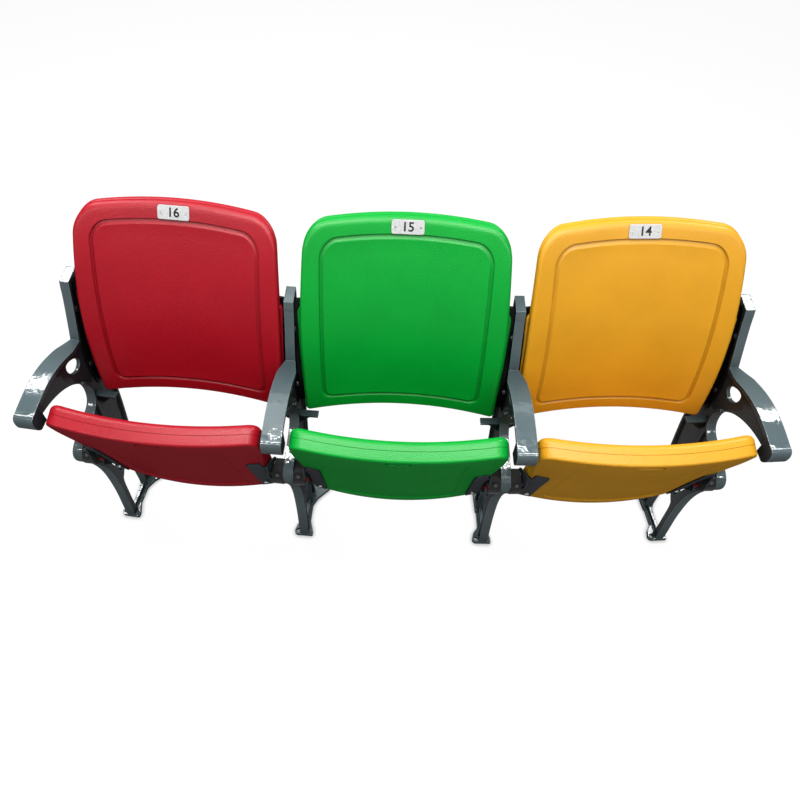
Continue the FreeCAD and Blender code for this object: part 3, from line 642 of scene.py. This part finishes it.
def pan_plan(inset):
    "Outline of the pan seen from above, as (x, forward) points."
    f = SEAT_FRONT - inset
    r = SEAT_REAR + inset
    hf = SEAT_HALF_FRONT - inset
    hr = SEAT_HALF_REAR - inset
    c = max(SEAT_CORNER - inset, LEAST_CORNER)
    front = lambda x: Vector((x, f - FRONT_FALL * (x / FRONT_FALL_AT) ** 2))
    rear = lambda x: Vector((x, r + REAR_FALL * (x / REAR_FALL_AT) ** 2))

    def side(t):
        "Right edge from the front corner to the rear corner."
        a = (f - c) + (r + c + REAR_FALL - (f - c)) * t
        q = a * 10.0
        w = SIDE_FIT[0] + q * (SIDE_FIT[1] + q * (SIDE_FIT[2] + q * (SIDE_FIT[3] + q * SIDE_FIT[4])))
        return Vector((w - inset, a))

    half = run(front, 0.0, hf - c)
    half += corner(front(hf - c), Vector((hf, f - FRONT_FALL)), side(0.0))
    half += run(side, 0.0, 1.0)
    half += corner(side(1.0), Vector((hr, r + REAR_FALL)), rear(hr - c))
    half += run(rear, hr - c, 0.0)
    half.append(rear(0.0))
    return mirrored(half)


def recess_plan(grow):
    "Rounded rectangle of the shallow recess under the pan, with as many points as the outline."
    w, f, r, c = RECESS
    w, f, r, c = w + grow, f + grow, r - grow, c + grow
    front = lambda x: Vector((x, f))
    rear = lambda x: Vector((x, r))
    side = lambda a: Vector((w, a))
    half = run(front, 0.0, w - c)
    half += corner(front(w - c), Vector((w, f)), side(f - c))
    half += run(side, f - c, r + c)
    half += corner(side(r + c), Vector((w, r)), rear(w - c))
    half += run(rear, w - c, 0.0)
    half.append(rear(0.0))
    return mirrored(half)


def between(one, other, share):
    "Plan between two others."
    return [p.lerp(q, share) for p, q in zip(one, other)]


def shrunk(plan, share, middle):
    "Plan drawn in towards a point of the middle line."
    return [Vector((p.x * share, middle + (p.y - middle) * share)) for p in plan]


def raised(plan, up):
    "Ring at a height over the underside; up is a number or a function of the forward distance."
    out = []
    for p in plan:
        h = up(p.y) if callable(up) else up
        out.append((p.x, -p.y, seat_b(p.y, p.x) + h))
    return out


def edge_radius(a):
    "The lower edge is tight along the front and well rounded at the rear."
    return EDGE_RADIUS + EDGE_GAIN * min(max((EDGE_FROM_A - a) / EDGE_LENGTH, 0.0), 1.0)


def pan_rings():
    "Rings from the middle of the underside, round the edge, to the middle of the top."
    rings = []
    outer = pan_plan(0.0)
    inner = pan_plan(EDGE_BAND)
    # recessed middle of the underside, out to its rim
    recess_floor = recess_plan(-RECESS_STEP)
    recess_middle = 0.5 * (RECESS[1] + RECESS[2])
    for share in (0.05, 0.25, 0.5, 0.75, 0.95):
        rings.append(raised(shrunk(recess_floor, share, recess_middle), RECESS_DEPTH))
    for k in range(0, 7):
        t = k / 6.0
        depth = RECESS_DEPTH * 0.5 * (1.0 + math.cos(math.pi * t))
        rings.append(raised(recess_plan(-RECESS_STEP + RECESS_STEP * t), depth))
    for share in (0.03, 0.15, 0.4, 0.7, 0.94):
        rings.append(raised(between(recess_plan(0.0), inner, share), 0.0))
    # rounded lower edge
    for sine, cosine in quarter_turn(9):
        plan = [p.lerp(q, edge_radius(p.y) / EDGE_BAND * (1.0 - sine)) for p, q in zip(outer, inner)]
        rings.append(raised(plan, lambda a: edge_radius(a) * (1.0 - cosine)))
    for inset, up in SEAT_PARTING:
        rings.append(raised(pan_plan(inset), PARTING + up))
    # rounded upper edge and the top
    r = SEAT_TOP_EDGE
    for sine, cosine in quarter_turn(9):
        rings.append(raised(pan_plan(r * (1.0 - cosine)), SEAT_T - r * (1.0 - sine)))
    for share in (0.85, 0.6, 0.3, 0.05):
        plan = shrunk(pan_plan(r), share, 0.5 * (SEAT_FRONT + SEAT_REAR))
        rings.append(raised(plan, SEAT_T - SEAT_CROWN * (1.0 - share)))
    return rings


# How far the cutter of a slot stands out of the surface, as a share of the slot's depth
CUTTER_ABOVE = 0.3
SHARP_DEGREES = 40.0


def cut_slot(obj, corners, depth, matrix):
    "Cut a pocket into a closed mesh; corners are four points on its surface, depth a vector into it."
    box = [Vector(c) - depth * CUTTER_ABOVE for c in corners] + [Vector(c) + depth for c in corners]
    faces = [(0, 1, 2, 3), (7, 6, 5, 4), (0, 4, 5, 1), (1, 5, 6, 2), (2, 6, 7, 3), (3, 7, 4, 0)]
    cutter = new_object("cutter", box, faces, matrix)
    mod = obj.modifiers.new("slot", "BOOLEAN")
    mod.operation = "DIFFERENCE"
    mod.solver = "EXACT"
    mod.object = cutter
    graph = bpy.context.evaluated_depsgraph_get()
    result = bpy.data.meshes.new_from_object(obj.evaluated_get(graph))
    obj.modifiers.remove(mod)
    obj.data = result
    bpy.data.objects.remove(cutter)
    sharpen(obj, SHARP_DEGREES)


def sharpen(obj, degrees):
    "Mark edges sharper than an angle, so that smooth shading stops there."
    bm = bmesh.new()
    bm.from_mesh(obj.data)
    for edge in bm.edges:
        edge.smooth = edge.calc_face_angle(0.0) < math.radians(degrees)
    for face in bm.faces:
        face.smooth = True
    bm.to_mesh(obj.data)
    bm.free()


def make_pan(seat):
    tipped_up = Matrix.Rotation(math.radians(-TIP_ANGLE), 4, "X")
    place = seat_matrix(seat) @ Matrix.Translation((0, 0, PIVOT_Z)) @ tipped_up
    verts, faces = loft(pan_rings())
    body = new_piece(seat + "_pan_shell", verts, faces, "plastic_" + seat, "seat_" + seat, place)
    w, h, a = LIFT_SLOT
    corners = [(x * w / 2.0, -(a + s * h / 2.0), seat_b(a, 0.0)) for x, s in ((-1, -1), (1, -1), (1, 1), (-1, 1))]
    cut_slot(body, corners, Vector((0.0, 0.0, LIFT_SLOT_DEPTH)), place)
    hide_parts(seat + "_seat_pan")


# Seat numbers on the plates

def make_number(seat):
    lean = math.atan(BACK_SLOPE + 2.0 * BACK_CURVE * (PLATE_Z - BACK_Z0))
    text = bpy.data.curves.new(seat + "_numerals", "FONT")
    text.body = SEAT_NUMBERS[seat]
    text.align_x = "CENTER"
    text.align_y = "CENTER"
    text.size = DIGIT_HEIGHT / DIGIT_SHARE
    text.extrude = DIGIT_T
    text.offset = DIGIT_WEIGHT
    obj = bpy.data.objects.new(seat + "_numerals", text)
    bpy.context.scene.collection.objects.link(obj)
    face = back_y(0.0, PLATE_Z) - PLATE_T - PLATE_GAP - DIGIT_LIFT
    tilt = Matrix.Rotation(math.pi / 2.0 - lean, 4, "X")
    obj.matrix_world = seat_matrix(seat) @ Matrix.Translation((0.0, face, PLATE_Z)) @ tilt
    text.materials.append(INK)
    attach(obj, "frame")


for seat in SEATS:
    make_back(seat)
    make_pan(seat)
    make_number(seat)


# Camera, floor and light

def make_camera():
    pitch, yaw, roll = (math.radians(v) for v in (CAMERA_PITCH, CAMERA_YAW, CAMERA_ROLL))
    forward = Vector((math.sin(yaw) * math.cos(pitch), math.cos(yaw) * math.cos(pitch), -math.sin(pitch)))
    right = Vector((math.cos(yaw), -math.sin(yaw), 0.0))
    up = right.cross(forward)
    x = right * math.cos(roll) + up * math.sin(roll)
    y = up * math.cos(roll) - right * math.sin(roll)
    turn = Matrix((x, y, -forward)).transposed().to_4x4()
    data = bpy.data.cameras.new("camera")
    data.sensor_width = SENSOR_MM
    data.lens = SENSOR_MM * FOCAL_PIXELS / IMAGE_SIZE
    data.shift_x = (IMAGE_SIZE / 2.0 - CENTRE_PIXEL[0]) / IMAGE_SIZE
    data.shift_y = (CENTRE_PIXEL[1] - IMAGE_SIZE / 2.0) / IMAGE_SIZE
    cam = bpy.data.objects.new("camera", data)
    bpy.context.scene.collection.objects.link(cam)
    cam.matrix_world = seat_matrix("middle") @ Matrix.Translation(CAMERA_AT) @ turn
    bpy.context.scene.camera = cam


def seen_rays(nodes, links):
    "One for the camera's own rays and those reflected or let through to it, zero for stray light."
    path = nodes.new("ShaderNodeLightPath")
    value = path.outputs["Is Camera Ray"]
    for name in ("Is Glossy Ray", "Is Transmission Ray"):
        most = nodes.new("ShaderNodeMath")
        most.operation = "MAXIMUM"
        links.new(value, most.inputs[0])
        links.new(path.outputs[name], most.inputs[1])
        value = most.outputs["Value"]
    return value


FLOOR_HALF = 14.0
FLOOR_Z = -0.0006
FLOOR_COLOUR = (0.13, 0.13, 0.13, 1.0)
FLOOR_ROUGHNESS = 0.9
FLOOR_GLOW = 0.90
# Reach of the painted shadow on the floor's glow
FLOOR_SHADOW_REACH = 0.012
WORLD_LIGHT = 0.30
WHITE = (1.0, 1.0, 1.0, 1.0)


def make_floor():
    "Grey floor that also glows, but only for the eye."
    mesh = bpy.data.meshes.new("floor")
    ends = ((-1, -1), (1, -1), (1, 1), (-1, 1))
    mesh.from_pydata([(x * FLOOR_HALF, y * FLOOR_HALF, FLOOR_Z) for x, y in ends], [], [(0, 1, 2, 3)])
    floor = bpy.data.objects.new("floor", mesh)
    bpy.context.scene.collection.objects.link(floor)
    mat, nodes, links, bsdf = new_material("floor")
    bsdf.inputs["Base Color"].default_value = FLOOR_COLOUR
    bsdf.inputs["Roughness"].default_value = FLOOR_ROUGHNESS
    bsdf.inputs["Specular IOR Level"].default_value = 0.0
    glow = nodes.new("ShaderNodeEmission")
    # painted shadow: the glow fades out inside the bolt holes and right under the feet, where no light reaches
    painted_contact_shadow = recess_shade(nodes, links, FLOOR_SHADOW_REACH, 0.0)
    links.new(times(nodes, links, painted_contact_shadow, FLOOR_GLOW), glow.inputs["Strength"])
    add = nodes.new("ShaderNodeAddShader")
    links.new(bsdf.outputs["BSDF"], add.inputs[0])
    links.new(glow.outputs["Emission"], add.inputs[1])
    mix_shaders(nodes, links, seen_rays(nodes, links), bsdf.outputs["BSDF"], add.outputs["Shader"],
                nodes["Material Output"].inputs["Surface"])
    mesh.materials.append(mat)


def area_light(name, place, aim, size, watts, sheen_only=False):
    "Soft rectangular lamp; one for sheen only is seen in glossy paint and lights nothing else."
    data = bpy.data.lights.new(name, "AREA")
    data.shape = "RECTANGLE"
    data.size, data.size_y = size
    data.energy = watts
    lamp = bpy.data.objects.new(name, data)
    bpy.context.scene.collection.objects.link(lamp)
    lamp.location = place
    lamp.rotation_mode = "QUATERNION"
    lamp.rotation_quaternion = (Vector(aim) - Vector(place)).to_track_quat("-Z", "Y")
    lamp.visible_diffuse = not sheen_only


def make_world():
    "White behind everything, and a weak even light from all round."
    world = bpy.data.worlds.new("studio")
    world.use_nodes = True
    nodes, links = world.node_tree.nodes, world.node_tree.links
    around = nodes["Background"]
    around.inputs["Color"].default_value = WHITE
    around.inputs["Strength"].default_value = WORLD_LIGHT
    behind = nodes.new("ShaderNodeBackground")
    behind.inputs["Color"].default_value = WHITE
    behind.inputs["Strength"].default_value = 1.0
    mix_shaders(nodes, links, seen_rays(nodes, links), around.outputs["Background"], behind.outputs["Background"],
                nodes["World Output"].inputs["Surface"])
    bpy.context.scene.world = world


make_camera()
make_floor()
make_world()
area_light("key", place=(-0.2, -0.1, 3.1), aim=(0.0, 0.1, 0.5), size=(3.6, 1.5), watts=90.0)
area_light("back", place=(0.0, 1.9, 2.8), aim=(0.0, 0.1, 0.5), size=(3.6, 0.9), watts=30.0)
area_light("front", place=(0.4, -2.7, 2.9), aim=(0.0, 0.0, 0.5), size=(2.6, 1.2), watts=14.0)
# Lamps for the sheen of the castings, on each side from the front, from above and from behind
for hand, side in HANDS:
    area_light("glint_front_" + hand, place=(side * 2.15, -1.7, 2.6), aim=(side * 0.7, 0.0, 0.6),
               size=(0.13, 1.0), watts=38.0, sheen_only=True)
    area_light("glint_top_" + hand, place=(side * 0.70, -0.36, 3.0), aim=(side * 0.24, 0.0, 0.6),
               size=(0.20, 1.0), watts=62.0, sheen_only=True)
    area_light("glint_back_" + hand, place=(side * 1.95, 1.1, 2.8), aim=(side * 0.7, 0.2, 0.7),
               size=(0.9, 0.5), watts=70.0, sheen_only=True)

bpy.context.scene.view_settings.view_transform = "Standard"
